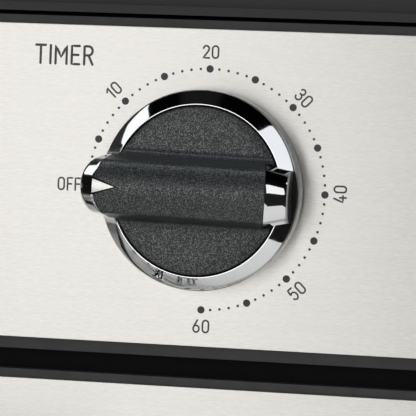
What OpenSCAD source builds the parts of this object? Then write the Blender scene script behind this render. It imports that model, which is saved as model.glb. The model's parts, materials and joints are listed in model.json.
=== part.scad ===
// Drawer-type food dehydrator with a clockwork timer and a thermostat behind a steel fascia.
// Frame: X to the right, Y to the back, Z up; the origin is on the table under the middle of the box.

/* [Cabinet] */
// Width over the two side panels
cab_w = 320; // [312:1:390]
// Depth from the steel face of the fascia to the back of the rear cover
cab_d = 330; // [300:1:420]
// Height of the rubber feet
foot_h = 12; // [8:1:20]
// Thickness of the sheet of the side panels, the base and the rear cover
sheet_t = 1.2; // [0.8:0.1:2]
// Height of the rim that runs round the foot of the top cover
top_t = 1.8; // [1.2:0.1:3]
// Height of the raised lid above that rim
lid_h = 7; // [5:0.5:14]
// Wall of the raised lid
lid_t = 2; // [1.5:0.1:3]
// How far the raised lid is set back from the rim's edge
lid_back = 2; // [1:0.1:5]
// Height of the kick strip under the lowest drawer
kick_h = 13; // [10:1:25]

/* [Fascia] */
// Height of the brushed steel skin of the fascia
fascia_h = 64.6; // [62:0.2:80]
// Thickness of the steel skins
skin_t = 0.8; // [0.5:0.1:1.2]
// Black rim that shows above each steel skin
rim_top = 1.8; // [1:0.1:3]
// Black rim that shows below each steel skin
rim_low = 2.5; // [1.5:0.1:4]
// Thickness of the moulded carriers behind the skins
carrier_t = 3.2; // [2.4:0.1:5]
// Height of the open groove between neighbouring fronts
groove = 4.2; // [3:0.1:6]
// Sideways distance of each control from the middle
control_x = 80; // [60:1:90]

/* [Drawers] */
// Height of a drawer's steel skin
front_skin_h = 39.5; // [37:0.5:60]
// Height of the tray walls
tray_h = 24; // [18:1:30]
// Thickness of the tray walls
tray_t = 2.5; // [2:0.1:4]
// Depth of the tray behind its front
tray_d = 248; // [200:1:255]
// How far a handle stands out from the steel
handle_out = 24; // [20:1:32]
// Radius of the handle bar
handle_r = 4.5; // [3.5:0.1:5.5]
// Half the distance between the two handle posts
handle_half = 46; // [36:1:56]

/* [Knobs] */
// Radius of the chrome bezel
bezel_r = 20.3; // [19:0.1:21]
// Radius of the flat dial of the grip
dial_r = 17.1; // [16:0.1:17.2]
// Height of the bezel's outer edge above the steel
bezel_h = 6.8; // [6.5:0.1:8]
// Height of the dial's face above the steel
dial_h = 10.3; // [10:0.1:11]
// Height of the grip bar's ridge above the steel
ridge_h = 18.8; // [17:0.1:21]
// Half the width of the grip bar
bar_half = 6.9; // [6:0.1:8]
// Distance from the axis to the tip of the pointer
nose_reach = 24.7; // [23:0.1:26]
// Radius of the control shafts
shaft_r = 3; // [2.5:0.1:3.5]

/* [Air system] */
// Radius of the fan wheel
fan_r = 58; // [45:1:62]
// Depth of the fan wheel
fan_d = 18; // [12:1:20]
// Radius of the heater ring, to the middle of its tube
heater_r = 78; // [76:1:84]
// Radius of the heater tube
heater_tube = 3.2; // [2.5:0.1:4]

/* [Hidden] */
$fn = 64;

drawer_n = 4;
fit = 0.3;        // clearance around a part that drops into its place by hand
slip = 0.3;       // clearance above and below anything that slides
axis_drop = 0.3;   // the controls sit this much below the middle of the fascia
front_gap = 0.5;  // space left between a closed drawer's front and the frame
run = 0.07;       // radial clearance of a shaft in its bearing hole
rear_out = 2;     // screw heads and the gland's flange behind the rear cover
frame_t = 10;     // depth of the moulded front frame
frame_side = 14;  // width of the frame's two stiles
eps = 0.01;

// Depth of a thing behind the steel face, as a Y value, with the whole object centred on Y = 0
y_face = (handle_out - cab_d - rear_out) / 2;
y_back = y_face + cab_d;
y_frame = y_face + skin_t + carrier_t;
y_inner = y_frame + frame_t;
half_w = cab_w / 2;
inner_half = half_w - sheet_t;
front_half = half_w - 2;
skin_half = front_half - rim_top;

// Levels
z_base = foot_h;
z_floor = z_base + sheet_t;
front_h = front_skin_h + rim_top + rim_low;
pitch = front_h + groove;
z_fronts = z_base + kick_h + 1;
z_fascia = z_fronts + drawer_n * pitch;
z_axis = z_fascia + rim_low + fascia_h / 2 - axis_drop;
z_cover = z_fascia + rim_low + fascia_h + rim_top + 0.8;
z_ceiling = z_fascia - 1.6;
ceiling_t = 1.2;
function front_z(k) = z_fronts + (drawer_n - k) * pitch;
function tray_z(k) = front_z(k) + 8;

// Chamber
liner_half = half_w - 13;
liner_t = 1;
tray_half = liner_half - liner_t - 5;
shelf_half = tray_half - 5;
shelf_t = 2;
chamber_end = y_back - 36;
baffle_y = y_back - 68;
z_fan = (z_floor + z_ceiling) / 2;
motor_gap = 4;

// Front openings of the frame
opening_half = half_w - frame_side;
opening_gap = 1;  // space between a tray and its opening in the frame
window_low = z_fascia + 6;
window_high = z_cover - 5;

// Controls, as distances behind the steel face
plate_in = skin_t + carrier_t + frame_t;   // front of the control plate
plate_t = 1.2;
works_in = plate_in + plate_t;             // front of the timer's front plate
works_gap = 21.6;                          // space between the timer's two plates
works_back = works_in + plate_t + works_gap;
shaft_hole_r = shaft_r + 2;
screw_r = 2;
screw_space = 14;                          // from a control's axis to each of its two screws
hub_r = 5.5;

// Timer train
module_mm = 0.6;
great_teeth = 48;
second_teeth = 36;
pinion_teeth = 12;
great_to_second = module_mm * (great_teeth + pinion_teeth) / 2;
second_to_escape = module_mm * (second_teeth + pinion_teeth) / 2;
escape_angle = 125;
second_at = [-great_to_second, 0];
escape_at = second_at + second_to_escape * [cos(escape_angle), sin(escape_angle)];
great_in = works_back - 4;                 // back of the great wheel
second_in = works_back - 1.6;              // front of the second wheel
wheel_t = 1.2;
pivot_r = 1;

// ---------- placing ----------

// Things on a control's axis: local Z points out of the panel, local Y is up, Z = 0 is the steel face
module at_control(x) {
    translate([x, y_face, z_axis]) rotate([90, 0, 0]) children();
}

module at_timer() {
    at_control(control_x) children();
}

module at_thermostat() {
    at_control(-control_x) children();
}

// A round bar from depth a to depth b behind the steel, on a control's axis
module bar_between(r, a, b) {
    translate([0, 0, -b]) cylinder(r = r, h = b - a);
}

module box_between(x0, x1, y0, y1, z0, z1) {
    translate([x0, y0, z0]) cube([x1 - x0, y1 - y0, z1 - z0]);
}

// ---------- cabinet ----------

module slot_2d(len, wid) {
    hull() {
        translate([-(len - wid) / 2, 0]) circle(r = wid / 2, $fn = 32);
        translate([(len - wid) / 2, 0]) circle(r = wid / 2, $fn = 32);
    }
}

// A straight-sided slot with round ends, cut along an axis
module slot_cut(len, wid, depth) {
    translate([-(len - wid) / 2, -wid / 2, -depth / 2]) cube([len - wid, wid, depth]);
    for (s = [-1, 1])
        translate([s * (len - wid) / 2, 0, -depth / 2]) cylinder(r = wid / 2, h = depth, $fn = 32);
}

vent_rows = 3;
vent_cols = 9;

module side_panel(side) {
    flange = 13;
    color([0.09, 0.09, 0.1])
    difference() {
        union() {
            translate([side > 0 ? half_w - sheet_t : -half_w, y_face + 5, z_base])
                cube([sheet_t, cab_d - 5 - sheet_t, z_cover - z_base]);
            translate([side > 0 ? half_w - flange : -half_w, y_back - 2 * sheet_t, z_floor + 9])
                cube([flange, sheet_t, z_cover - z_floor - 9]);
        }
        at_rear_screws() cylinder(r = screw_r, h = 10, center = true);
        for (i = [0 : vent_cols - 1], j = [0 : vent_rows - 1])
            translate([side * (half_w - sheet_t / 2), y_back - 30 - i * 9, z_cover - 24 - j * 20])
                rotate([0, 90, 0]) slot_cut(15, 3, sheet_t * 3);
    }
}

module left_side_panel() { side_panel(-1); }
module right_side_panel() { side_panel(1); }

// A moulded lid, hollow underneath, that rests on the panels and the frame with its rim
module top_cover() {
    top = z_cover + top_t + lid_h;
    ledge = 8;
    color([0.07, 0.07, 0.08])
    difference() {
        union() {
            box_between(-half_w, half_w, y_face + 0.3, y_back, z_cover, z_cover + top_t);
            box_between(-half_w + lid_back, half_w - lid_back, y_face + 0.3 + lid_back, y_back - lid_back,
                        z_cover + top_t - eps, top);
        }
        box_between(-half_w + ledge, half_w - ledge, y_inner, y_back - ledge, z_cover - 1, top - lid_t);
        for (i = [-6 : 6], j = [0 : 1])
            translate([i * 14, y_back - 34 - j * 26, top])
                rotate([0, 0, 90]) slot_cut(20, 3, lid_t * 3);
    }
}

module base_pan() {
    flange = 9;
    color([0.35, 0.36, 0.37])
    difference() {
        box_between(-inner_half, inner_half, y_inner, y_back - sheet_t, z_base, z_floor + flange);
        box_between(-inner_half + sheet_t, inner_half - sheet_t, y_inner + sheet_t, y_back - sheet_t * 2,
                    z_floor, z_floor + flange + 1);
        for (i = [-5 : 5])
            translate([i * 18, y_back - 90, z_base]) rotate([0, 0, 90]) slot_cut(30, 4, sheet_t * 4);
        at_feet() translate([0, 0, -1]) cylinder(r = screw_r + 0.2, h = sheet_t + 2);
    }
}

foot_x = half_w - 25;
foot_y = [y_face + 45, y_back - 48];
foot_r = 12;

module at_feet() {
    for (sx = [-1, 1], fy = foot_y) translate([sx * foot_x, fy, z_base]) children();
}

module rubber_feet() {
    color([0.12, 0.12, 0.12])
    at_feet()
        rotate([180, 0, 0]) difference() {
            cylinder(r1 = foot_r, r2 = foot_r - 2.5, h = foot_h);
            translate([0, 0, 4]) cylinder(r = 4.6, h = foot_h);
            translate([0, 0, -1]) cylinder(r = screw_r + 0.2, h = foot_h);
        }
}

rear_screw_x = [-half_w + 8, half_w - 8];
rear_screw_z = [z_floor + 14, z_fan + 20, z_cover - 20];
gland_at = [half_w - 45, z_floor + 32];
gland_r = 7;
cord_hole_r = 3.6;
intake_rings = 5;

module at_rear_screws() {
    for (x = rear_screw_x, z = rear_screw_z)
        translate([x, y_back, z]) rotate([-90, 0, 0]) children();
}

module rear_cover() {
    color([0.10, 0.10, 0.11])
    difference() {
        box_between(-half_w, half_w, y_back - sheet_t, y_back, z_base, z_cover);
        for (ring = [1 : intake_rings])
            for (i = [0 : ring * 4 - 1])
                translate([0, y_back, z_fan]) rotate([0, i * 360 / (ring * 4) + ring * 10, 0])
                    translate([ring * 9, 0, 0]) rotate([90, 0, 0]) slot_cut(7, 3.4, sheet_t * 4);
        for (i = [-4 : 4])
            translate([i * 16, y_back, z_cover - 30]) rotate([90, 90, 0]) slot_cut(26, 4, sheet_t * 4);
        translate([gland_at.x, y_back, gland_at.y]) rotate([90, 0, 0])
            cylinder(r = gland_r + 0.1, h = 10, center = true);
        at_rear_screws() cylinder(r = screw_r + 0.2, h = 10, center = true);
    }
}

module screw(head_r, head_h, len) {
    difference() {
        union() {
            cylinder(r = head_r, h = head_h, $fn = 32);
            translate([0, 0, -len]) cylinder(r = screw_r, h = len + head_h / 2, $fn = 32);
        }
        for (a = [0, 90])
            rotate([0, 0, a]) translate([-head_r * 0.6, -0.35, head_h - 0.7])
                cube([head_r * 1.2, 0.7, 1]);
    }
}

module case_screws() {
    color([0.75, 0.76, 0.78]) {
        at_rear_screws() screw(3.6, rear_out, 6);
        at_feet() translate([0, 0, -4 - eps]) rotate([180, 0, 0]) screw(3.8, 2.2, 7);
    }
}

module front_frame() {
    color([0.05, 0.05, 0.055])
    difference() {
        box_between(-inner_half, inner_half, y_frame, y_inner, z_base, z_cover);
        for (k = [1 : drawer_n])
            box_between(-opening_half, opening_half, y_frame - 1, y_inner + 1,
                        tray_z(k) - opening_gap, tray_z(k) + tray_h + opening_gap);
        box_between(-opening_half, opening_half, y_frame - 1, y_inner + 1, window_low, window_high);
    }
}

module cord_gland() {
    color([0.06, 0.06, 0.06])
    translate([gland_at.x, y_back, gland_at.y]) rotate([-90, 0, 0])
    difference() {
        union() {
            cylinder(r = 10, h = rear_out);
            translate([0, 0, -9]) cylinder(r = gland_r, h = 9 + eps);
            translate([0, 0, -sheet_t - 2.5]) cylinder(r = gland_r + 1.4, h = 2.4);
        }
        translate([0, 0, -10]) cylinder(r = cord_hole_r, h = 20);
    }
}

// ---------- fascia and controls ----------

module fascia_carrier() {
    color([0.05, 0.05, 0.055])
    difference() {
        box_between(-front_half, front_half, y_face + skin_t, y_frame,
                    z_fascia, z_fascia + rim_low + fascia_h + rim_top);
        for (x = [-control_x, control_x]) at_control(x) bar_between(shaft_hole_r, -1, 9);
        at_control(0) bar_between(lamp_r + fit, -1, 9);
    }
}

lamp_r = 4;

module fascia_skin() {
    color([0.83, 0.82, 0.80])
    difference() {
        box_between(-skin_half, skin_half, y_face, y_face + skin_t,
                    z_fascia + rim_low, z_fascia + rim_low + fascia_h);
        for (x = [-control_x, control_x]) at_control(x) bar_between(shaft_hole_r, -1, 9);
        at_control(0) bar_between(lamp_r + 0.1, -1, 9);
    }
}

module power_lamp() {
    color([0.75, 0.16, 0.08])
    at_control(0) {
        bar_between(lamp_r, 0, 10);
        translate([0, 0, -4.4]) intersection() {
            sphere(r = 6);
            translate([0, 0, 4.4 - eps]) cylinder(r = lamp_r, h = 4);
        }
        bar_between(lamp_r + 1.5, skin_t + carrier_t, skin_t + carrier_t + 2);
    }
}

module control_plate() {
    color([0.62, 0.64, 0.66])
    difference() {
        box_between(-opening_half - 6, opening_half + 6, y_face + plate_in, y_face + plate_in + plate_t,
                    z_ceiling + ceiling_t + 1, z_cover - 1);
        for (x = [-control_x, control_x]) at_control(x) {
            bar_between(shaft_hole_r, 0, 40);
            for (s = [-1, 1]) translate([0, s * screw_space, 0]) bar_between(screw_r + 0.1, 0, 40);
        }
    }
}

module control_screws() {
    color([0.75, 0.76, 0.78])
    for (x = [-control_x, control_x], s = [-1, 1])
        at_control(x) translate([0, s * screw_space, -plate_in]) screw(3.5, 2.2, 4.6);
}

// ---------- knobs ----------

// Half section of the grip bar, from its foot on the dial to its ridge
function bar_point(t, w, h) = [w * pow(cos(t), 0.8), h * pow(sin(t), 0.9)];

module bar_section(w, z0, h) {
    n = 12;
    right = [for (i = [0 : n]) bar_point(90 * i / n, w, h)];
    left = [for (i = [n - 1 : -1 : 0]) [-right[i].x, right[i].y]];
    translate([0, z0]) polygon(concat(right, left));
}

// The bar's dome along X, from the tail to beyond the pointer
module bar_dome(w, z0, h) {
    rotate([90, 0, 90]) translate([0, 0, -30]) linear_extrude(60) bar_section(w, z0, h);
}

// Outline that ends the bar: a steep round nose on the pointer's side and a cone about the axis at the tail
module bar_ends(shrink, z0) {
    nose_r = 6.7;
    nose_x = nose_reach - nose_r;
    top = ridge_h + 1;
    hull() {
        translate([-nose_x, 0, z0]) cylinder(r = nose_r - shrink, h = bezel_h - z0, $fn = 32);
        translate([-nose_x + 3.6, 0, top]) cylinder(r = nose_r - 1.8 - shrink, h = 0.5, $fn = 32);
        translate([0, 0, z0]) cylinder(r = 18.4 - shrink, h = dial_h - 1.5 - z0, $fn = 48);
        translate([0, 0, top]) cylinder(r = 15.1 - shrink, h = 0.5, $fn = 48);
    }
}

nose_shell = 0.7;   // wall of the chrome at the two ends of the bar
dial_t = 2.2;       // thickness of the grip's round plate
foot_gap = 0.9;     // space between the knob and the steel

module knob_bezel() {
    web = dial_h - dial_t;
    difference() {
        union() {
            rotate_extrude($fn = 96)
                polygon([[bezel_r - 1.8, foot_gap], [bezel_r, foot_gap], [bezel_r, bezel_h], [dial_r, dial_h],
                         [dial_r, web], [hub_r + 0.4, web], [hub_r + 0.4, web - 1.6],
                         [bezel_r - 1.8, web - 1.6]]);
            intersection() {
                bar_dome(bar_half, foot_gap, ridge_h - foot_gap);
                bar_ends(0, foot_gap);
                difference() {
                    translate([0, 0, foot_gap]) cylinder(r = 40, h = ridge_h);
                    translate([0, 0, 0]) cylinder(r = bezel_r - 1, h = web);
                    translate([0, 0, web - 1]) cylinder(r = dial_r, h = 2);
                }
            }
        }
        intersection() {
            translate([0, 0, dial_h - 0.8]) cylinder(r = 40, h = ridge_h);
            bar_ends(nose_shell, foot_gap);
        }
        translate([0, 0, web]) cylinder(r = dial_r - 0.05, h = dial_t + 0.2);
    }
}

module knob_grip() {
    difference() {
        union() {
            translate([0, 0, dial_h - dial_t]) cylinder(r = dial_r - 0.2, h = dial_t, $fn = 96);
            intersection() {
                bar_dome(bar_half - 0.05, dial_h - 0.7, ridge_h - dial_h + 0.7);
                bar_ends(nose_shell + 0.15, foot_gap);
            }
            translate([0, 0, foot_gap]) cylinder(r = hub_r, h = dial_h - 2);
        }
        difference() {
            translate([0, 0, -1]) cylinder(r = shaft_r, h = 10.5);
            translate([shaft_r - 0.9, -5, -2]) cube([5, 10, 14]);
        }
    }
}

module knob_clip() {
    rotate_extrude(angle = 300) translate([hub_r, foot_gap + 0.5]) square([0.5, 3.5]);
}

// Control shaft with a flat on the part inside the knob, to depth b behind the steel
module control_shaft(b) {
    difference() {
        translate([0, 0, -b]) cylinder(r = shaft_r - 0.02, h = b + 9);
        translate([shaft_r - 0.9, -5, -1]) cube([5, 10, 14]);
    }
}

module timer_knob_bezel() { color([0.80, 0.81, 0.83]) at_timer() knob_bezel(); }
module timer_knob_grip() { color([0.12, 0.13, 0.14]) at_timer() knob_grip(); }
module timer_knob_clip() { color([0.6, 0.6, 0.62]) at_timer() knob_clip(); }
module heat_knob_bezel() { color([0.80, 0.81, 0.83]) at_thermostat() knob_bezel(); }
module heat_knob_grip() { color([0.12, 0.13, 0.14]) at_thermostat() knob_grip(); }
module heat_knob_clip() { color([0.6, 0.6, 0.62]) at_thermostat() knob_clip(); }

// ---------- timer works ----------

// A wheel with slim pointed teeth, one of them on the angle at, standing on z = 0
module wheel(teeth, thick, bore, at) {
    pr = module_mm * teeth / 2;
    tip = pr + module_mm * 0.85;
    root = pr - module_mm * 1.1;
    step = 360 / teeth;
    outline = [for (i = [0 : teeth - 1]) each [
        root * [cos(at + (i - 0.30) * step), sin(at + (i - 0.30) * step)],
        pr * [cos(at + (i - 0.18) * step), sin(at + (i - 0.18) * step)],
        tip * [cos(at + (i - 0.06) * step), sin(at + (i - 0.06) * step)],
        tip * [cos(at + (i + 0.06) * step), sin(at + (i + 0.06) * step)],
        pr * [cos(at + (i + 0.18) * step), sin(at + (i + 0.18) * step)],
        root * [cos(at + (i + 0.30) * step), sin(at + (i + 0.30) * step)]
    ]];
    difference() {
        linear_extrude(thick) polygon(outline);
        if (bore > 0) translate([0, 0, -1]) cylinder(r = bore, h = thick + 2);
    }
}

module timer_arbor() {
    color([0.70, 0.66, 0.55]) at_timer() control_shaft(works_back + plate_t + 0.6);
}

module timer_spring_barrel() {
    barrel_r = 12.5;
    front = works_in + plate_t + 3;
    back = great_in - wheel_t - 1.6;
    color([0.78, 0.62, 0.30])
    at_timer() difference() {
        union() {
            bar_between(barrel_r, front, back);
            bar_between(barrel_r + 0.6, back - 1, back);
        }
        bar_between(shaft_r, front - 1, back + 1);
        translate([0, 0, -front - 0.6]) difference() {
            cylinder(r = barrel_r - 1, h = 2);
            translate([0, 0, -1]) cylinder(r = shaft_r + 2, h = 4);
        }
    }
}

module timer_great_wheel() {
    color([0.80, 0.64, 0.32])
    at_timer() translate([0, 0, -great_in]) difference() {
        wheel(great_teeth, wheel_t, shaft_r, 180);
        for (a = [45 : 90 : 315]) rotate([0, 0, a]) translate([8.2, 0, -1]) cylinder(r = 2.6, h = 4);
    }
}

module timer_cam() {
    front = works_in + plate_t + 0.5;
    color([0.85, 0.84, 0.78])
    at_timer() difference() {
        bar_between(9, front, front + 1.6);
        bar_between(shaft_r, front - 1, front + 3);
        rotate([0, 0, 0]) translate([10, 0, 0]) bar_between(3, front - 1, front + 3);
    }
}

// An arbor that turns in both plates, with a pinion and a wheel
module train_arbor(at, pinion_from, pinion_to, pinion_angle) {
    translate([at.x, at.y, 0]) {
        bar_between(pivot_r, works_in + 0.4, works_back + plate_t - 0.1);
        bar_between(pivot_r + 0.4, works_in + plate_t + 0.3, pinion_from + eps);
        translate([0, 0, -pinion_to]) wheel(pinion_teeth, pinion_to - pinion_from, 0, pinion_angle);
    }
}

module timer_second_wheel() {
    color([0.80, 0.64, 0.32])
    at_timer() {
        train_arbor(second_at, great_in - wheel_t - 0.4, second_in + eps, 180 / pinion_teeth);
        translate([second_at.x, second_at.y, -second_in - wheel_t * 0.7])
            wheel(second_teeth, wheel_t * 0.7, 0, escape_angle);
    }
}

module timer_escape_wheel() {
    escape_r = 7;
    points = 15;
    color([0.82, 0.70, 0.40])
    at_timer() {
        train_arbor(escape_at, second_in - 0.5, second_in + wheel_t * 0.7 + 0.3,
                    escape_angle + 180 + 180 / pinion_teeth);
        translate([escape_at.x, escape_at.y, -works_back + 8]) linear_extrude(0.8)
            polygon([for (i = [0 : points - 1]) each [
                escape_r * [cos(i * 360 / points), sin(i * 360 / points)],
                (escape_r - 2) * [cos((i + 0.25) * 360 / points), sin((i + 0.25) * 360 / points)]
            ]]);
    }
}

plates_low = [-38, -21];
plates_high = [22, 24];
pillar_r = 2;
pillars = [[-35, -18], [19, -18], [-35, 21], [19, 21]];
bell_at = [-6.5, 0];
bell_r = 16;
bell_t = 1;
bell_depth = 9;
bell_gap = 3;      // from the back plate to the bell's rim
bell_pin = 1.6;

module timer_plate(front) {
    translate([plates_low.x, plates_low.y, -front - plate_t])
        cube([plates_high.x - plates_low.x, plates_high.y - plates_low.y, plate_t]);
}

module pivot_holes(front) {
    bar_between(shaft_r + run, front - 1, front + plate_t + 1);
    for (p = [second_at, escape_at])
        translate([p.x, p.y, 0]) bar_between(pivot_r + run, front - 1, front + plate_t + 1);
}

module timer_front_plate() {
    color([0.66, 0.67, 0.68])
    at_timer() difference() {
        timer_plate(works_in);
        pivot_holes(works_in);
        for (s = [-1, 1]) translate([0, s * screw_space, 0])
            bar_between(screw_r, works_in - 1, works_in + plate_t + 1);
    }
}

module timer_back_plate() {
    color([0.66, 0.67, 0.68])
    at_timer() difference() {
        union() {
            timer_plate(works_back);
            for (p = pillars) translate([p.x, p.y, 0])
                bar_between(pillar_r, works_in + plate_t, works_back + eps);
            translate([bell_at.x, bell_at.y, 0]) {
                bar_between(2.8, works_back + plate_t - eps, works_back + plate_t + bell_gap + bell_depth - bell_t);
                bar_between(bell_pin - 0.02, works_back, works_back + plate_t + bell_gap + bell_depth + 0.6);
            }
        }
        pivot_holes(works_back);
    }
}

module timer_bell() {
    d = bell_depth;
    color([0.78, 0.79, 0.80])
    at_timer() translate([bell_at.x, bell_at.y, -works_back - plate_t - bell_gap])
        rotate([180, 0, 0]) rotate_extrude()
            polygon([[bell_pin, d - bell_t], [bell_r - 5, d - bell_t], [bell_r - 2, d - 3],
                     [bell_r - bell_t, 0], [bell_r, 0], [bell_r - 1, d - 2.4],
                     [bell_r - 4.4, d], [bell_pin, d]]);
}

module timer_switch() {
    color([0.25, 0.16, 0.10])
    at_timer() {
        translate([14.2, -9, -works_in - plate_t - 15.3]) cube([6.5, 18, 12.3]);
        translate([16, -9, -works_in - plate_t - 3.1]) cube([4.7, 18, 3.1]);
        for (s = [-1, 1]) translate([20.6, s * 5 - 3.15, -works_in - plate_t - 11])
            cube([9, 6.3, 0.8]);
        translate([14.2, -1.5, -works_in - plate_t - 3.2]) cube([1, 3, 2.6]);
        translate([9.4, -1.5, -works_in - plate_t - 1.8]) cube([5.8, 3, 1.2]);
    }
}

// ---------- thermostat ----------

thermo_half = 17;

module heat_shaft() {
    color([0.70, 0.66, 0.55]) at_thermostat() control_shaft(works_in + plate_t + 4);
}

module thermostat_body() {
    front = works_in;
    color([0.86, 0.85, 0.80])
    at_thermostat() difference() {
        union() {
            translate([-thermo_half, -thermo_half - 3, -front - plate_t])
                cube([2 * thermo_half, 2 * thermo_half + 6, plate_t]);
            translate([-thermo_half, -thermo_half, -front - 24])
                cube([2 * thermo_half, 2 * thermo_half, 24 - plate_t + eps]);
            for (s = [-1, 1]) translate([s * 9 - 3.15, -3, -front - 32]) cube([6.3, 0.8, 9]);
        }
        bar_between(shaft_r + run, front - 1, front + plate_t + 5);
        for (s = [-1, 1]) translate([0, s * screw_space, 0])
            bar_between(screw_r, front - 1, front + plate_t + 3);
    }
}

bulb_y = chamber_end - 19;

// The feeler in the air behind the baffle, with the thin tube that joins it to the thermostat
module thermostat_bulb() {
    bulb_z = z_ceiling - 10;
    tube_z = z_axis - 8;
    tube_y = y_face + works_in + 24;
    color([0.72, 0.45, 0.28])
    translate([-control_x, 0, 0]) {
        translate([0, tube_y, tube_z]) rotate([-90, 0, 0]) cylinder(r = 1, h = bulb_y - tube_y);
        translate([0, bulb_y, bulb_z]) cylinder(r = 1, h = tube_z - bulb_z);
        translate([0, bulb_y, tube_z]) sphere(r = 1.02);
        translate([-4, bulb_y, bulb_z]) rotate([0, 90, 0]) cylinder(r = 3, h = 60);
    }
}

// ---------- drying chamber ----------

module chamber_ceiling() {
    color([0.70, 0.71, 0.72])
    difference() {
        box_between(-inner_half, inner_half, y_inner, y_back - sheet_t * 2, z_ceiling, z_ceiling + ceiling_t);
        translate([-control_x, bulb_y, z_ceiling - 1]) cylinder(r = 1.6, h = 4);
    }
}

module runners(side) {
    front = y_inner + sheet_t;
    length = chamber_end - front;
    color([0.72, 0.73, 0.74]) {
        translate([side > 0 ? liner_half - liner_t : -liner_half, front, z_floor])
            cube([liner_t, length, z_ceiling - z_floor]);
        for (k = [1 : drawer_n], z = [tray_z(k) - slip - shelf_t, tray_z(k) + tray_h + slip])
            translate([side > 0 ? shelf_half : -liner_half + liner_t - eps, front, z])
                cube([liner_half - liner_t - shelf_half + eps, tray_d - 12, shelf_t]);
    }
}

module left_runners() { runners(-1); }
module right_runners() { runners(1); }

module air_baffle() {
    half = liner_half - liner_t;
    color([0.72, 0.73, 0.74])
    difference() {
        box_between(-half, half, baffle_y, baffle_y + 1, z_floor, z_ceiling);
        translate([0, baffle_y - 1, z_fan]) rotate([-90, 0, 0]) for (ring = [0 : 4])
            for (i = [0 : max(ring * 6 - 1, 0)])
                rotate([0, 0, i * 60 / max(ring, 1)]) translate([ring * 10, 0, 0])
                    cylinder(r = 3.4, h = 3, $fn = 32);
        for (s = [-1, 1], j = [0 : 8], c = [0 : 1])
            translate([s * (half - 16 - c * 18), baffle_y, z_floor + 22 + j * 20])
                rotate([90, 0, 0]) slot_cut(12, 5, 4);
    }
}

module chamber_rear_wall() {
    half = liner_half;
    color([0.68, 0.69, 0.70])
    difference() {
        box_between(-half, half, chamber_end, chamber_end + 1, z_floor, z_ceiling);
        translate([0, chamber_end - 1, z_fan]) rotate([-90, 0, 0]) cylinder(r = 6, h = 3);
        for (s = [-1, 1]) translate([s * leg_half, chamber_end - 1, z_fan + leg_up]) rotate([-90, 0, 0])
            cylinder(r = heater_tube + 1, h = 3);
    }
}

fan_back = chamber_end - 6;
leg_half = 9;     // from the middle to each of the heater's two legs
leg_up = sqrt(heater_r * heater_r - leg_half * leg_half);

// Local Z points to the back, from the fan's back plate
module at_fan(y) {
    translate([0, y, z_fan]) rotate([-90, 0, 0]) children();
}

module fan_wheel() {
    blades = 14;
    color([0.60, 0.62, 0.64])
    at_fan(fan_back - fan_d) difference() {
        union() {
            translate([0, 0, fan_d - 1.2]) cylinder(r = fan_r, h = 1.2);
            translate([0, 0, fan_d - 12]) cylinder(r = 8, h = 12);
            for (i = [0 : blades - 1]) rotate([0, 0, i * 360 / blades]) translate([22, 0, 0])
                rotate([0, 0, 25]) translate([0, -0.5, 0]) cube([fan_r * 0.58, 1, fan_d - 1]);
        }
        translate([0, 0, -1]) cylinder(r = shaft_r, h = fan_d + 2);
    }
}

module fan_shaft() {
    color([0.75, 0.76, 0.78])
    at_fan(fan_back - 12) cylinder(r = shaft_r - 0.01, h = 12 + 6 + 1 + motor_gap + 20);
}

module fan_motor() {
    front = chamber_end + 1 + motor_gap;
    color([0.30, 0.31, 0.33])
    difference() {
        union() {
            at_fan(front) translate([-30, -22, 0]) cube([60, 44, 18]);
            at_fan(front) translate([-14, -34, 1]) cube([28, 14, 16]);
            at_fan(front - 2) cylinder(r = 9, h = 23);
            for (s = [-1, 1]) at_fan(chamber_end + 1) translate([s * 25, 0, 0])
                cylinder(r = 3.5, h = motor_gap + eps);
        }
        at_fan(front - 3) cylinder(r = shaft_r + run - 0.01, h = 30);
    }
}

module heater_ring() {
    ring_y = fan_back - fan_d / 2;
    gap_angle = 2 * asin(leg_half / heater_r);
    color([0.36, 0.33, 0.32])
    at_fan(ring_y) {
        rotate([0, 0, -90 + gap_angle / 2]) rotate_extrude(angle = 360 - gap_angle, $fn = 96)
            translate([heater_r, 0]) circle(r = heater_tube, $fn = 32);
        for (s = [-1, 1]) rotate([0, 0, -90 + s * gap_angle / 2]) translate([heater_r, 0, 0])
            sphere(r = heater_tube, $fn = 32);
        for (s = [-1, 1]) rotate([0, 0, -90 + s * gap_angle / 2]) translate([heater_r, 0, 0]) {
            cylinder(r = heater_tube - 0.02, h = chamber_end - ring_y + 9, $fn = 32);
            translate([0, 0, chamber_end - ring_y + 1]) cylinder(r = heater_tube + 2.5, h = 3);
        }
    }
}

module heater_clips() {
    ring_y = fan_back - fan_d / 2;
    post = chamber_end - ring_y - heater_tube - 0.1;
    color([0.74, 0.74, 0.72])
    for (a = [0, 90, 180]) at_fan(chamber_end - post) rotate([0, 0, a]) translate([heater_r, 0, 0]) {
        translate([-3, -3, 0]) cube([6, 6, post]);
        translate([heater_tube + 0.1, -3, -2 * heater_tube]) cube([1, 6, 2 * heater_tube + 2]);
    }
}

module thermal_cutout() {
    color([0.15, 0.15, 0.16])
    translate([70, chamber_end, z_ceiling - 22]) rotate([90, 0, 0]) {
        cylinder(r = 8, h = 6);
        translate([0, 0, 6 - eps]) cylinder(r = 6, h = 3);
    }
}

// ---------- drawers ----------

vent_n = 8;
vent_pitch = 8.6;
vent_first = handle_half + 22;

// Upright air slots to the left and right of the handle
module front_vents(k) {
    zc = front_z(k) + rim_low + front_skin_h / 2 - 1;
    for (s = [-1, 1], i = [0 : vent_n - 1])
        translate([s * (vent_first + i * vent_pitch), y_face + 2, zc])
            rotate([90, 90, 0]) slot_cut(16, 3, 12);
}

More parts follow.
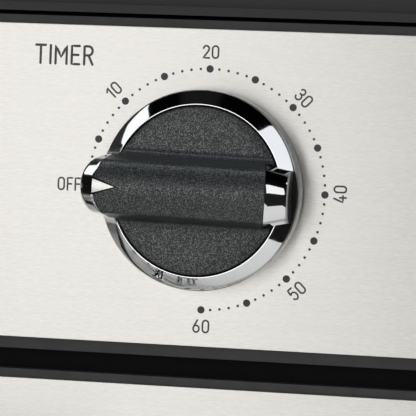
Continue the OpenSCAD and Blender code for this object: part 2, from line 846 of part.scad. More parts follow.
module tray(k) {
    z0 = tray_z(k);
    ledge = 3;
    ledge_t = 2;
    color([0.06, 0.06, 0.065])
    difference() {
        union() {
            box_between(-front_half, front_half, y_face + skin_t, y_frame - front_gap,
                        front_z(k), front_z(k) + front_h);
            box_between(-tray_half, tray_half, y_frame - front_gap - eps, y_frame + tray_d, z0, z0 + tray_h);
        }
        box_between(-tray_half + tray_t, tray_half - tray_t, y_frame - front_gap,
                    y_frame + tray_d - tray_t, z0 + ledge_t, z0 + tray_h + 1);
        for (s = [0, 1]) {
            bay = (2 * tray_half - 2 * tray_t - 2 * ledge - 6) / 2;
            x0 = -tray_half + tray_t + ledge + s * (bay + 6);
            box_between(x0, x0 + bay, y_frame + ledge, y_frame + tray_d - tray_t - ledge,
                        z0 - 1, z0 + ledge_t + 1);
        }
        front_vents(k);
        handle_screw_holes(k);
    }
}

module mesh(k) {
    half = tray_half - tray_t - fit;
    length = tray_d - tray_t - 2 * fit;
    cols = 10;
    rows = 12;
    col_step = (2 * half - 8) / cols;
    row_step = (length - 8) / rows;
    color([0.78, 0.79, 0.80])
    translate([0, y_frame + fit, tray_z(k) + 2]) difference() {
        translate([-half, 0, 0]) cube([2 * half, length, 1.2]);
        for (i = [0 : cols - 1], j = [0 : rows - 1])
            translate([-half + 4 + (i + 0.06) * col_step, 4 + (j + 0.1) * row_step, -1])
                cube([col_step * 0.88, row_step * 0.8, 4]);
    }
}

module drawer_skin(k) {
    color([0.83, 0.82, 0.80])
    difference() {
        box_between(-skin_half, skin_half, y_face, y_face + skin_t,
                    front_z(k) + rim_low, front_z(k) + rim_low + front_skin_h);
        front_vents(k);
        handle_screw_holes(k);
    }
}

post_r = 4;

module at_handle_posts(k) {
    zc = front_z(k) + rim_low + front_skin_h / 2 - 1;
    for (s = [-1, 1]) translate([s * handle_half, y_face, zc]) rotate([90, 0, 0]) children();
}

// The handle's threaded ends pass through the skin and the tray's front
module handle_screw_holes(k) {
    at_handle_posts(k) translate([0, 0, -10]) cylinder(r = screw_r + 0.1, h = 20, $fn = 32);
}

module handle(k) {
    bar_out = handle_out - handle_r;
    zc = front_z(k) + rim_low + front_skin_h / 2 - 1;
    over = 10;   // bar beyond each post
    color([0.14, 0.15, 0.16]) {
        at_handle_posts(k) {
            cylinder(r = post_r, h = bar_out);
            translate([0, 0, -skin_t - carrier_t + 0.1]) cylinder(r = screw_r, h = 8, $fn = 32);
        }
        translate([-handle_half - over, y_face - bar_out, zc]) rotate([0, 90, 0])
            cylinder(r = handle_r, h = 2 * (handle_half + over));
    }
}

left_side_panel();
right_side_panel();
top_cover();
base_pan();
rear_cover();
front_frame();
rubber_feet();
case_screws();
fascia_carrier();
fascia_skin();
control_plate();
control_screws();
chamber_ceiling();
left_runners();
right_runners();
air_baffle();
chamber_rear_wall();
fan_motor();
fan_wheel();
fan_shaft();
heater_ring();
heater_clips();
thermal_cutout();
cord_gland();
power_lamp();
timer_knob_bezel();
timer_knob_grip();
timer_knob_clip();
timer_arbor();
timer_spring_barrel();
timer_great_wheel();
timer_cam();
timer_second_wheel();
timer_escape_wheel();
timer_front_plate();
timer_back_plate();
timer_bell();
timer_switch();
heat_knob_bezel();
heat_knob_grip();
heat_knob_clip();
heat_shaft();
thermostat_body();
thermostat_bulb();
for (k = [1 : drawer_n]) {
    tray(k);
    mesh(k);
    drawer_skin(k);
    handle(k);
}
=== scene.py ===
import json
import math

import bpy
from mathutils import Matrix, Vector


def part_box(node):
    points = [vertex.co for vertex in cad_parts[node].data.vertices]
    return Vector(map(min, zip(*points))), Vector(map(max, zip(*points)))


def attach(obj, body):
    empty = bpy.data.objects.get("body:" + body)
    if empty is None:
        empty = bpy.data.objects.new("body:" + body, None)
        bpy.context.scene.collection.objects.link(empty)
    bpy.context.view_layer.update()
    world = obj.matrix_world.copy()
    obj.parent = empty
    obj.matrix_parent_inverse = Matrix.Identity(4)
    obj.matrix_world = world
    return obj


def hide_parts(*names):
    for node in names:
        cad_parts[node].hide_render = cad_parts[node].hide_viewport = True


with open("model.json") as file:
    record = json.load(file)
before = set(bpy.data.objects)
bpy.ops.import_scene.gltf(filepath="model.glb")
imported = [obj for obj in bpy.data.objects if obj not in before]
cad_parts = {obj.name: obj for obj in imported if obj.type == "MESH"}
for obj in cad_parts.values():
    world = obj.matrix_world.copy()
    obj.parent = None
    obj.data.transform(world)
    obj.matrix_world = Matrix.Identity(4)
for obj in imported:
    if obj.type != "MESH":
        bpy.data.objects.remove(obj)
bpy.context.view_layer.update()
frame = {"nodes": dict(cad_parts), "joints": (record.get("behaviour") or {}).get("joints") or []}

MM = 0.001
joint = {j["name"]: j for j in frame["joints"]}


# ---- Camera ----
# A long lens looks at the timer's dial from a little to the right and slightly above.
# It is rolled a little, and its distance and focal length are set so that the fascia fills the frame.
timer_axis = Vector(joint["timer_turn"]["pos_m"])
look_azimuth = math.radians(10.65)
look_elevation = math.radians(2.4)
look_roll = math.radians(2.19)
look_distance = 0.5363
lens = 228.5
shift_right = 0.00051
shift_up = 0.00373

away = Vector((
    math.sin(look_azimuth) * math.cos(look_elevation),
    -math.cos(look_azimuth) * math.cos(look_elevation),
    math.sin(look_elevation),
))
level = Vector((math.cos(look_azimuth), math.sin(look_azimuth), 0))
upright = away.cross(level)
cam_right = level * math.cos(look_roll) + upright * math.sin(look_roll)
cam_up = upright * math.cos(look_roll) - level * math.sin(look_roll)
eye = timer_axis + away * look_distance + cam_right * shift_right - cam_up * shift_up

camera = bpy.data.objects.new("camera", bpy.data.cameras.new("camera"))
camera.data.lens = lens
camera.data.sensor_width = 36
camera.data.clip_start = 0.01
camera.data.clip_end = 60
turn = Matrix((cam_right, cam_up, away)).transposed().to_4x4()
camera.matrix_world = Matrix.Translation(eye) @ turn
bpy.context.scene.collection.objects.link(camera)
bpy.context.scene.camera = camera
bpy.context.scene.view_settings.view_transform = "Standard"


# ---- Studio light ----
# Soft even light falls on everything. What shines sees a darker room: a bright panel in front, softboxes
# high on the left and right, ahead on the right and overhead, a black ceiling and dim side walls. The
# camera itself sees a plain pale backdrop.
world = bpy.data.worlds.new("room")
bpy.context.scene.world = world
world.use_nodes = True
room = world.node_tree
room_light = room.nodes["Background"]
room_way = room.nodes.new("ShaderNodeTexCoord")
room_axes = room.nodes.new("ShaderNodeSeparateXYZ")
room.links.new(room_way.outputs["Generated"], room_axes.inputs[0])


def room_ramp(axis, stops):
    """Grey levels laid from -1 to 1 along one axis of the room."""
    spread = room.nodes.new("ShaderNodeMapRange")
    spread.inputs["From Min"].default_value = -1
    room.links.new(room_axes.outputs[axis], spread.inputs["Value"])
    ramp = room.nodes.new("ShaderNodeValToRGB")
    ramp.color_ramp.interpolation = "EASE"
    ladder = ramp.color_ramp.elements
    for stop, (place, grey) in zip(ladder, (stops[0], stops[-1])):
        stop.position = (place + 1) / 2
        stop.color = (grey, grey, grey, 1)
    for place, grey in stops[1:-1]:
        ladder.new((place + 1) / 2).color = (grey, grey, grey, 1)
    room.links.new(spread.outputs["Result"], ramp.inputs["Fac"])
    return ramp.outputs["Color"]


def room_mix(kind, a, b, factor=None):
    mix = room.nodes.new("ShaderNodeMix")
    mix.data_type = "RGBA"
    mix.blend_type = kind
    mix.inputs["Factor"].default_value = 1
    if factor:
        room.links.new(factor, mix.inputs["Factor"])
    for value, label in ((a, "A"), (b, "B")):
        if isinstance(value, tuple):
            mix.inputs[label].default_value = value
        else:
            room.links.new(value, mix.inputs[label])
    return mix.outputs["Result"]


ceiling_to_floor = room_ramp(
    "Z", [(-1, 0.5), (-0.1, 0.55), (0.05, 0.75), (0.3, 0.5), (0.5, 0.08), (0.8, 0.01)],
)
side_to_side = room_ramp(
    "X", [(-0.8, 0.06), (-0.45, 0.10), (-0.34, 1.0), (-0.04, 0.9), (0.10, 0.12), (0.35, 0.06), (0.9, 0.08)],
)
shine_room = room_mix("MULTIPLY", ceiling_to_floor, side_to_side)
room_path = room.nodes.new("ShaderNodeLightPath")
pale_backdrop = (0.76, 0.755, 0.745, 1)
room_seen = room_mix("MIX", shine_room, pale_backdrop, room_path.outputs["Is Camera Ray"])
room.links.new(room_seen, room_light.inputs["Color"])
room_light.inputs["Strength"].default_value = 1.0


def aim(lamp, place, target):
    lamp.location = place
    lamp.rotation_euler = (Vector(target) - Vector(place)).to_track_quat("-Z", "Y").to_euler()
    lamp.visible_camera = False
    bpy.context.scene.collection.objects.link(lamp)


def softbox(name, place, target, width, height, radiance, tint=(1, 1, 1)):
    """An area light of a given brightness, not seen itself."""
    data = bpy.data.lights.new(name, "AREA")
    data.shape = "RECTANGLE"
    data.size = width
    data.size_y = height
    data.energy = radiance * math.pi * width * height
    data.color = tint
    aim(bpy.data.objects.new(name, data), place, target)


fascia_right = (0.06, -0.15, 0.25)
softbox("front_panel", (-0.38, -1.80, 0.34), fascia_right, 0.62, 0.85, 1.1, (1.0, 0.985, 0.955))
softbox("high_right_box", (1.62, -0.55, 1.22), (0.08, -0.15, 0.25), 0.7, 1.25, 1.05, (0.96, 0.98, 1.0))
softbox("left_strip", (-1.60, 0.25, 1.42), fascia_right, 0.9, 0.85, 1.3, (0.95, 0.98, 1.0))
softbox("right_front", (0.90, -1.60, 0.90), (0.08, -0.17, 0.25), 0.50, 0.75, 1.1, (1.0, 0.99, 0.97))
softbox("overhead_box", (-0.25, -0.82, 1.88), fascia_right, 0.5, 0.36, 3.0, (0.82, 0.91, 1.0))
softbox("back_box", (0.6, 2.6, 1.5), (0, 0.1, 0.15), 1.8, 1.6, 0.8)
even_light = bpy.data.lights.new("even_light", "SUN")
even_light.energy = 3.1
even_light.angle = math.radians(100)
even_lamp = bpy.data.objects.new("even_light", even_light)
even_lamp.visible_glossy = False
aim(even_lamp, (-0.9, -1.5, 2.4), (0, 0, 0))


# ---- Effects shared by the finishes ----
# Each is a node group that reads the surface's own place and puts out a mask and a height: fine grain,
# brush lines, zinc spangle, metal flecks and rubbed edges.
def effect(name, inputs):
    group = bpy.data.node_groups.new(name, "ShaderNodeTree")
    for label, value in inputs:
        entry = group.interface.new_socket(label, in_out="INPUT", socket_type="NodeSocketFloat")
        entry.default_value = value
    for label in ("Mask", "Height"):
        group.interface.new_socket(label, in_out="OUTPUT", socket_type="NodeSocketFloat")
    return group, group.nodes.new("NodeGroupInput"), group.nodes.new("NodeGroupOutput")


def stretched_place(group, stretch):
    place = group.nodes.new("ShaderNodeTexCoord")
    mapping = group.nodes.new("ShaderNodeMapping")
    mapping.inputs["Scale"].default_value = stretch
    group.links.new(place.outputs["Object"], mapping.inputs["Vector"])
    return mapping.outputs["Vector"]


def noise_layer(group, vector, scale, detail=2.0):
    layer = group.nodes.new("ShaderNodeTexNoise")
    layer.inputs["Detail"].default_value = detail
    group.links.new(vector, layer.inputs["Vector"])
    if isinstance(scale, (int, float)):
        layer.inputs["Scale"].default_value = scale
    else:
        group.links.new(scale, layer.inputs["Scale"])
    return layer.outputs["Fac"]


def sum_of(group, a, b, share):
    mix = group.nodes.new("ShaderNodeMix")
    mix.inputs["Factor"].default_value = share
    group.links.new(a, mix.inputs["A"])
    group.links.new(b, mix.inputs["B"])
    return mix.outputs["Result"]


def grain_effect():
    group, given, out = effect("fine_grain", [("Scale", 2500.0)])
    vector = stretched_place(group, (1, 1, 1))
    fine = noise_layer(group, vector, given.outputs["Scale"], 3.0)
    broad = noise_layer(group, vector, 45.0, 2.0)
    group.links.new(sum_of(group, fine, broad, 0.3), out.inputs["Mask"])
    group.links.new(fine, out.inputs["Height"])
    return group


def brushed_effect():
    group, given, out = effect("brush_lines", [("Scale", 1.0)])
    fine = noise_layer(group, stretched_place(group, (650, 5200, 5200)), given.outputs["Scale"], 2.0)
    coarse = noise_layer(group, stretched_place(group, (60, 1600, 1600)), given.outputs["Scale"], 2.0)
    both = sum_of(group, fine, coarse, 0.25)
    group.links.new(both, out.inputs["Mask"])
    group.links.new(fine, out.inputs["Height"])
    return group


def spangle_effect():
    group, given, out = effect("zinc_spangle", [("Scale", 160.0)])
    cells = group.nodes.new("ShaderNodeTexVoronoi")
    group.links.new(stretched_place(group, (1, 1, 1)), cells.inputs["Vector"])
    group.links.new(given.outputs["Scale"], cells.inputs["Scale"])
    split = group.nodes.new("ShaderNodeSeparateColor")
    group.links.new(cells.outputs["Color"], split.inputs["Color"])
    haze = noise_layer(group, stretched_place(group, (1, 1, 1)), 900.0)
    group.links.new(sum_of(group, split.outputs["Red"], haze, 0.35), out.inputs["Mask"])
    group.links.new(haze, out.inputs["Height"])
    return group


fleck_from, fleck_full = 0.49, 0.69


def fleck_effect():
    group, given, out = effect("metal_flecks", [("Scale", 4000.0)])
    specks = noise_layer(group, stretched_place(group, (1, 1, 1)), given.outputs["Scale"], 1.0)
    chosen = group.nodes.new("ShaderNodeMapRange")
    chosen.inputs["From Min"].default_value = fleck_from
    chosen.inputs["From Max"].default_value = fleck_full
    group.links.new(specks, chosen.inputs["Value"])
    group.links.new(chosen.outputs["Result"], out.inputs["Mask"])
    group.links.new(specks, out.inputs["Height"])
    return group


wear_from, wear_full = 0.53, 0.62


def wear_effect():
    group, given, out = effect("edge_wear", [("Scale", 350.0)])
    shape = group.nodes.new("ShaderNodeNewGeometry")
    edge = group.nodes.new("ShaderNodeMapRange")
    edge.inputs["From Min"].default_value = wear_from
    edge.inputs["From Max"].default_value = wear_full
    group.links.new(shape.outputs["Pointiness"], edge.inputs["Value"])
    patches = noise_layer(group, stretched_place(group, (1, 1, 1)), given.outputs["Scale"], 4.0)
    worn = group.nodes.new("ShaderNodeMath")
    worn.operation = "MULTIPLY"
    group.links.new(edge.outputs["Result"], worn.inputs[0])
    group.links.new(patches, worn.inputs[1])
    group.links.new(worn.outputs["Value"], out.inputs["Mask"])
    group.links.new(patches, out.inputs["Height"])
    return group


grain = grain_effect()
brushing = brushed_effect()
spangle = spangle_effect()
flecks = fleck_effect()
wear = wear_effect()


def finish(name, color, metallic, **sockets):
    """A material that holds its constant values on the shader's own sockets."""
    material = bpy.data.materials.new(name)
    material.use_nodes = True
    shader = material.node_tree.nodes["Principled BSDF"]
    shader.inputs["Base Color"].default_value = (*color, 1)
    shader.inputs["Metallic"].default_value = metallic
    for socket, value in sockets.items():
        shader.inputs[socket.replace("_", " ")].default_value = value
    return material


mask_low, mask_high = 0.3, 0.7
relief_strength = 0.6


def mask_spread(tree, mask, low=0, high=1):
    """Stretches the middle of a noise mask over a range of values."""
    spread = tree.nodes.new("ShaderNodeMapRange")
    spread.inputs["From Min"].default_value = mask_low
    spread.inputs["From Max"].default_value = mask_high
    spread.inputs["To Min"].default_value = low
    spread.inputs["To Max"].default_value = high
    tree.links.new(mask, spread.inputs["Value"])
    return spread.outputs["Result"]


def two_shades(tree, factor, shades):
    tint = tree.nodes.new("ShaderNodeMix")
    tint.data_type = "RGBA"
    tint.inputs["A"].default_value = (*shades[0], 1)
    tint.inputs["B"].default_value = (*shades[1], 1)
    tree.links.new(factor, tint.inputs["Factor"])
    return tint.outputs["Result"]


def raise_relief(tree, height, bump):
    relief = tree.nodes.new("ShaderNodeBump")
    relief.inputs["Distance"].default_value = bump
    relief.inputs["Strength"].default_value = relief_strength
    tree.links.new(height, relief.inputs["Height"])
    tree.links.new(relief.outputs["Normal"], tree.nodes["Principled BSDF"].inputs["Normal"])


def work_surface(material, group, scale, shades, rough, bump, worn=None):
    """Lays an effect over a finish: two shades, a range of roughness, a bump and, if given, a worn edge."""
    tree = material.node_tree
    shader = tree.nodes["Principled BSDF"]
    layer = tree.nodes.new("ShaderNodeGroup")
    layer.node_tree = group
    layer.inputs["Scale"].default_value = scale
    color = two_shades(tree, mask_spread(tree, layer.outputs["Mask"]), shades)
    if worn:
        rub = tree.nodes.new("ShaderNodeGroup")
        rub.node_tree = wear
        over = tree.nodes.new("ShaderNodeMix")
        over.data_type = "RGBA"
        over.inputs["B"].default_value = (*worn, 1)
        tree.links.new(rub.outputs["Mask"], over.inputs["Factor"])
        tree.links.new(color, over.inputs["A"])
        color = over.outputs["Result"]
    tree.links.new(color, shader.inputs["Base Color"])
    tree.links.new(mask_spread(tree, layer.outputs["Mask"], *rough), shader.inputs["Roughness"])
    raise_relief(tree, layer.outputs["Height"], bump)
    return material


# ---- Floor ----
# A wide pale studio sweep of painted board, with a soft mottle so that it isn't dead flat.
# The object stands on it on its four feet.
crease_angle = math.radians(34)


def add_mesh(name, points, faces, material, smooth=True):
    mesh = bpy.data.meshes.new(name)
    mesh.from_pydata([tuple(p) for p in points], [], faces)
    mesh.validate()
    mesh.polygons.foreach_set("use_smooth", [smooth] * len(mesh.polygons))
    mesh.set_sharp_from_angle(angle=crease_angle)
    piece = bpy.data.objects.new(name, mesh)
    piece.data.materials.append(material)
    bpy.context.scene.collection.objects.link(piece)
    return piece


floor_half = 14
floor_mat = work_surface(
    finish("pale_sweep", (0.80, 0.79, 0.77), 0.0),
    grain, 3.0, ((0.78, 0.775, 0.755), (0.82, 0.812, 0.79)), (0.55, 0.7), 0.0002,
)
floor_points = [(-floor_half, -floor_half, 0), (floor_half, -floor_half, 0),
                (floor_half, floor_half, 0), (-floor_half, floor_half, 0)]
floor = add_mesh("floor", floor_points, [(0, 1, 2, 3)], floor_mat, smooth=False)

# Two low black cards stand left and right of the object, and are seen only in what shines.
card_black = finish("card_black", (0.01, 0.01, 0.01), 0.0, Roughness=0.8, Specular_IOR_Level=0.1)
for name, (ax, ay), (bx, by), foot, top in (("left_card", (-0.40, -0.60), (-0.60, 0.45), 0.03, 0.45),
                                            ("right_card", (0.22, -1.15), (0.56, 0.45), 0.0, 0.34)):
    corners = [(ax, ay, foot), (bx, by, foot), (bx, by, top), (ax, ay, top)]
    card = add_mesh(name, corners, [(0, 1, 2, 3)], card_black, smooth=False)
    card.visible_camera = False
    card.visible_diffuse = False
    card.visible_shadow = False


# ---- Case sheets ----
# The side panels and the rear cover are cut and pierced steel sheet with a black powder coat, held by the
# case screws. The hollow moulded lid rests on them with its rim. Every edge is broken by a small round.
weld_reach = 1e-6
flat_within = math.radians(0.5)
sharp_beyond = math.radians(40)


def dress(node, material, edge):
    """Gives a piece its finish, and breaks its sharp edges unless edge, in millimetres, is 0."""
    piece = frame["nodes"][node]
    piece.data.materials.clear()
    piece.data.materials.append(material)
    if edge:
        weld = piece.modifiers.new("weld", "WELD")
        weld.merge_threshold = weld_reach
        flats = piece.modifiers.new("whole_flats", "DECIMATE")
        flats.decimate_type = "DISSOLVE"
        flats.angle_limit = flat_within
        bevel = piece.modifiers.new("broken_edges", "BEVEL")
        bevel.width = edge * MM
        bevel.segments = 2
        bevel.limit_method = "ANGLE"
        bevel.angle_limit = sharp_beyond
        shading = piece.modifiers.new("even_shading", "WEIGHTED_NORMAL")
        shading.weight = 100


powder_coat = work_surface(
    finish("black_powder_coat", (0.02, 0.02, 0.022), 0.0, Specular_IOR_Level=0.45),
    grain, 1400.0, ((0.014, 0.014, 0.016), (0.024, 0.024, 0.026)), (0.36, 0.5), 0.00006,
    worn=(0.09, 0.09, 0.095),
)
lid_plastic = work_surface(
    finish("lid_moulding", (0.02, 0.02, 0.022), 0.0, Specular_IOR_Level=0.4),
    grain, 2200.0, ((0.010, 0.010, 0.011), (0.020, 0.020, 0.021)), (0.42, 0.55), 0.00005,
)
for panel in ("left_side_panel", "right_side_panel", "rear_cover"):
    dress(panel, powder_coat, 0.25)
dress("top_cover", lid_plastic, 0.5)


# ---- Front frame and carriers ----
# Black mouldings with a spark-eroded grain: the frame that the drawers close against, the carrier that
# the fascia's steel is bonded to, and the cord gland in the rear cover.
black_moulding = work_surface(
    finish("black_moulding", (0.03, 0.03, 0.032), 0.0, Specular_IOR_Level=0.4),
    grain, 2600.0, ((0.009, 0.009, 0.0095), (0.016, 0.016, 0.0165)), (0.38, 0.52), 0.00003,
    worn=(0.05, 0.05, 0.052),
)
# Painted shade: the front frame is black plastic, but its colour is made darker still so that the deep gaps
# between the fascia and the drawers look fully shaded.
frame_moulding_shade_dark = work_surface(
    finish("frame_moulding_with_painted_shade", (0.004, 0.004, 0.004), 0.0, Specular_IOR_Level=0.1),
    grain, 1800.0, ((0.0028, 0.0028, 0.0028), (0.0055, 0.0055, 0.0055)), (0.6, 0.75), 0.00003,
)
# The front frame takes the extra-dark moulding, which is partly painted shade for its gaps.
dress("front_frame", frame_moulding_shade_dark, 0.4)
dress("fascia_carrier", black_moulding, 0.3)
dress("cord_gland", black_moulding, 0.4)


# ---- Steel skins ----
# Thin stainless sheet, brushed along its width, cut and pierced, and bonded to the fascia's carrier and
# to the front of each drawer.
brushed_steel = work_surface(
    finish("brushed_stainless", (0.78, 0.765, 0.74), 1.0, Anisotropic=0.8, Anisotropic_Rotation=0.25),
    brushing, 1.0, ((0.70, 0.688, 0.665), (0.86, 0.846, 0.82)), (0.30, 0.36), 0.000004,
)
dress("fascia_skin", brushed_steel, 0.15)
for k in range(1, 5):
    dress(f"drawer_{k}_skin", brushed_steel, 0.15)


# ---- Printed dials ----
# Screen-printed figures and minute dots in dark grey ink, a few hundredths proud of the steel.
# Every stroke is a flat ribbon with round ends, drawn on a grid one figure high.
ink = work_surface(
    finish("grey_ink", (0.05, 0.05, 0.055), 0.0, Specular_IOR_Level=0.3),
    grain, 5000.0, ((0.045, 0.044, 0.050), (0.060, 0.059, 0.066)), (0.55, 0.65), 0.00001,
)
ink_proud = 0.03
steel_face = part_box("fascia_skin")[0].y


def arc(cx, cy, rx, ry, start, end, steps=10):
    span = [math.radians(start + (end - start) * i / steps) for i in range(steps + 1)]
    return [(cx + rx * math.cos(a), cy + ry * math.sin(a)) for a in span]


def straight(*points):
    path = []
    for (ax, ay), (bx, by) in zip(points, points[1:]):
        path += [(ax + (bx - ax) * i / 3, ay + (by - ay) * i / 3) for i in range(3)]
    return path + [points[-1]]


oval = (0.50, [arc(0.25, 0.75, 0.25, 0.25, 0, 180) + arc(0.25, 0.25, 0.25, 0.25, 180, 360)
               + straight((0.5, 0.25), (0.5, 0.75))])
figures = {
    "0": oval,
    "1": (0.30, [straight((0.26, 0), (0.26, 1), (0.0, 0.74))]),
    "2": (0.48, [arc(0.24, 0.75, 0.24, 0.25, 170, -25) + straight((0.43, 0.58), (0.0, 0.0), (0.50, 0.0))]),
    "3": (0.48, [arc(0.23, 0.77, 0.22, 0.23, 160, -80) + straight((0.27, 0.54), (0.16, 0.54)),
                 arc(0.23, 0.27, 0.25, 0.27, 80, -160)]),
    "4": (0.52, [straight((0.30, 1), (0.0, 0.26), (0.54, 0.26)), straight((0.38, 0.52), (0.38, 0))]),
    "5": (0.48, [straight((0.44, 1), (0.06, 1), (0.02, 0.56)) + arc(0.23, 0.33, 0.25, 0.33, 135, -150)]),
    "6": (0.50, [straight((0.34, 1), (0.06, 0.48)) + arc(0.25, 0.28, 0.25, 0.28, 155, 515, 20)]),
    "7": (0.48, [straight((0.0, 1), (0.48, 1), (0.16, 0))]),
    "8": (0.50, [arc(0.25, 0.77, 0.21, 0.23, 0, 360, 18), arc(0.25, 0.27, 0.25, 0.27, 0, 360, 18)]),
    "O": oval,
    "F": (0.38, [straight((0.40, 1), (0.0, 1), (0.0, 0)), straight((0.0, 0.5), (0.34, 0.5))]),
    "T": (0.54, [straight((0.0, 1), (0.54, 1)), straight((0.27, 1), (0.27, 0))]),
    "I": (0.00, [straight((0.0, 1), (0.0, 0))]),
    "M": (0.62, [straight((0.0, 0), (0.0, 1), (0.31, 0.36), (0.62, 1), (0.62, 0))]),
    "E": (0.42, [straight((0.43, 1), (0.0, 1), (0.0, 0), (0.43, 0)), straight((0.0, 0.51), (0.37, 0.51))]),
    "R": (0.46, [straight((0.0, 0), (0.0, 1), (0.22, 1)) + arc(0.22, 0.75, 0.24, 0.25, 90, -90)
                 + straight((0.22, 0.5), (0.0, 0.5)), straight((0.24, 0.5), (0.47, 0))]),
    "P": (0.46, [straight((0.0, 0), (0.0, 1), (0.22, 1)) + arc(0.22, 0.74, 0.24, 0.26, 90, -90)
                 + straight((0.22, 0.48), (0.0, 0.48))]),
}
around_ribbon = 8
round_end = (30, 60, 90)
thinnest = 0.02
letter_gap = 0.29


def ribbon(points, faces, path, half, to_world):
    """Adds one stroke: rings of a flat oval along the path, shrinking over a round end."""
    clean = [path[0]]
    for p in path[1:]:
        if math.dist(p, clean[-1]) > half * 0.2:
            clean.append(p)
    first = Vector(clean[1]) - Vector(clean[0])
    last = Vector(clean[-1]) - Vector(clean[-2])
    rings = []
    for a in reversed(round_end):
        back = Vector(clean[0]) - first.normalized() * half * math.sin(math.radians(a))
        rings.append((back, first, max(math.cos(math.radians(a)), thinnest)))
    for i, p in enumerate(clean):
        before = Vector(clean[max(i - 1, 0)])
        after = Vector(clean[min(i + 1, len(clean) - 1)])
        rings.append((Vector(p), after - before, 1.0))
    for a in round_end:
        on = Vector(clean[-1]) + last.normalized() * half * math.sin(math.radians(a))
        rings.append((on, last, max(math.cos(math.radians(a)), thinnest)))
    start = len(points)
    for centre, along, size in rings:
        across = Vector((-along.y, along.x)).normalized()
        for s in range(around_ribbon):
            phi = 2 * math.pi * s / around_ribbon
            spot = centre + across * half * size * math.cos(phi)
            points.append(to_world(spot.x, spot.y, ink_proud * (0.5 + 0.5 * size * math.sin(phi))))
    for r in range(len(rings) - 1):
        for s in range(around_ribbon):
            a = start + r * around_ribbon + s
            b = start + r * around_ribbon + (s + 1) % around_ribbon
            faces.append((a, b, b + around_ribbon, a + around_ribbon))
    faces.append(tuple(start + s for s in reversed(range(around_ribbon))))
    end = start + (len(rings) - 1) * around_ribbon
    faces.append(tuple(end + s for s in range(around_ribbon)))


def words(points, faces, text, centre, height, angle, weight, axis):
    """Adds a word centred on a spot of the dial, turned by an angle; sizes are millimetres from the axis."""
    total = sum(figures[c][0] for c in text) + letter_gap * (len(text) - 1)
    cos_a, sin_a = math.cos(math.radians(angle)), math.sin(math.radians(angle))
    pen = -total / 2
    for c in text:
        width, strokes = figures[c]

        def to_world(x, y, proud, pen=pen):
            u = (pen + x / height) * height
            v = y - height / 2
            return (axis.x + (centre[0] + u * cos_a - v * sin_a) * MM,
                    steel_face - proud * MM,
                    axis.z + (centre[1] + u * sin_a + v * cos_a) * MM)

        for stroke in strokes:
            ribbon(points, faces, [(x * height, y * height) for x, y in stroke], weight / 2, to_world)
        pen += width + letter_gap


def dot(points, faces, u, v, radius, axis):
    steps = 24
    start = len(points)
    for proud, r in ((0.0, radius), (ink_proud, radius * 0.96)):
        for s in range(steps):
            a = 2 * math.pi * s / steps
            points.append((axis.x + (u + r * math.cos(a)) * MM, steel_face - proud * MM,
                           axis.z + (v + r * math.sin(a)) * MM))
    for s in range(steps):
        n = (s + 1) % steps
        faces.append((start + s, start + n, start + steps + n, start + steps + s))
    faces.append(tuple(start + s for s in reversed(range(steps))))
    faces.append(tuple(start + steps + s for s in range(steps)))


dot_ring = 24.5
small_dot = 0.27
large_dot = 0.76
large_dots = 12
figure_height, figure_weight = 2.45, 0.36
title_height, title_weight = 3.72, 0.5


dial_sweep = 270


def ring_spot(share, radius):
    """A spot on the dial, at a share of the sweep that starts at OFF on the left and runs clockwise."""
    a = math.radians(180 - dial_sweep * share)
    return radius * math.cos(a), radius * math.sin(a)


def print_dial(name, axis, marks, small_steps, title, title_spot):
    points, faces = [], []
    for label, spot, angle in marks:
        words(points, faces, label, spot, figure_height, angle, figure_weight, axis)
    total = small_steps * large_dots
    for i in range(1, total + 1):
        u, v = ring_spot(i / total, dot_ring)
        dot(points, faces, u, v, large_dot if i % small_steps == 0 else small_dot, axis)
    words(points, faces, title, title_spot, title_height, 0, title_weight, axis)
    piece = add_mesh(name, points, faces, ink)
    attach(piece, "cabinet")


off_mark = ("OFF", (-28.5, -0.05), 0)
timer_marks = [
    off_mark, ("10", (-19.85, 19.45), 45), ("20", (0.05, 27.95), 0), ("30", (19.45, 19.3), -45),
    ("40", (27.6, 0.25), 90), ("50", (19.55, -19.65), 45), ("60", (0.1, -27.85), 0),
]
print_dial("timer_print", timer_axis, timer_marks, 5, "TIMER", (-30.5, 26.35))
heat_axis = Vector(joint["heat_turn"]["pos_m"])
heat_figure_ring = 27.8
heat_figures = (("30", 45), ("40", 0), ("50", -45), ("60", 90), ("70", 45), ("80", 0))
heat_marks = [off_mark]
for i, (label, angle) in enumerate(heat_figures, 1):
    heat_marks.append((label, ring_spot(i / len(heat_figures), heat_figure_ring), angle))
print_dial("heat_print", heat_axis, heat_marks, 1, "TEMP", (-31.2, 26.35))


# ---- Knobs ----
# A two-part moulding on each control shaft: a chromed bezel with a pointer nose and an end face,
# and a graphite grip with a round dial plate and a domed bar across it. The nose is chamfered evenly
# round the bar's end, and the other end is drawn in and cut off upright.
chrome = work_surface(
    finish("bright_chrome", (0.80, 0.81, 0.83), 1.0),
    grain, 300.0, ((0.78, 0.79, 0.81), (0.82, 0.83, 0.85)), (0.035, 0.065), 0.000002,
)
graphite = finish("graphite_sparkle", (0.014, 0.015, 0.017), 0.0, Specular_IOR_Level=0.4, Roughness=0.30)


def add_flecks(material, plain, fleck, scale, bump):
    """Mixes fine flecks into a moulding: they take the light as metal does, the plastic between doesn't."""
    tree = material.node_tree
    shader = tree.nodes["Principled BSDF"]
    specks = tree.nodes.new("ShaderNodeGroup")
    specks.node_tree = flecks
    specks.inputs["Scale"].default_value = scale
    tree.links.new(two_shades(tree, specks.outputs["Mask"], (plain, fleck)), shader.inputs["Base Color"])
    tree.links.new(specks.outputs["Mask"], shader.inputs["Metallic"])
    raise_relief(tree, specks.outputs["Height"], bump)


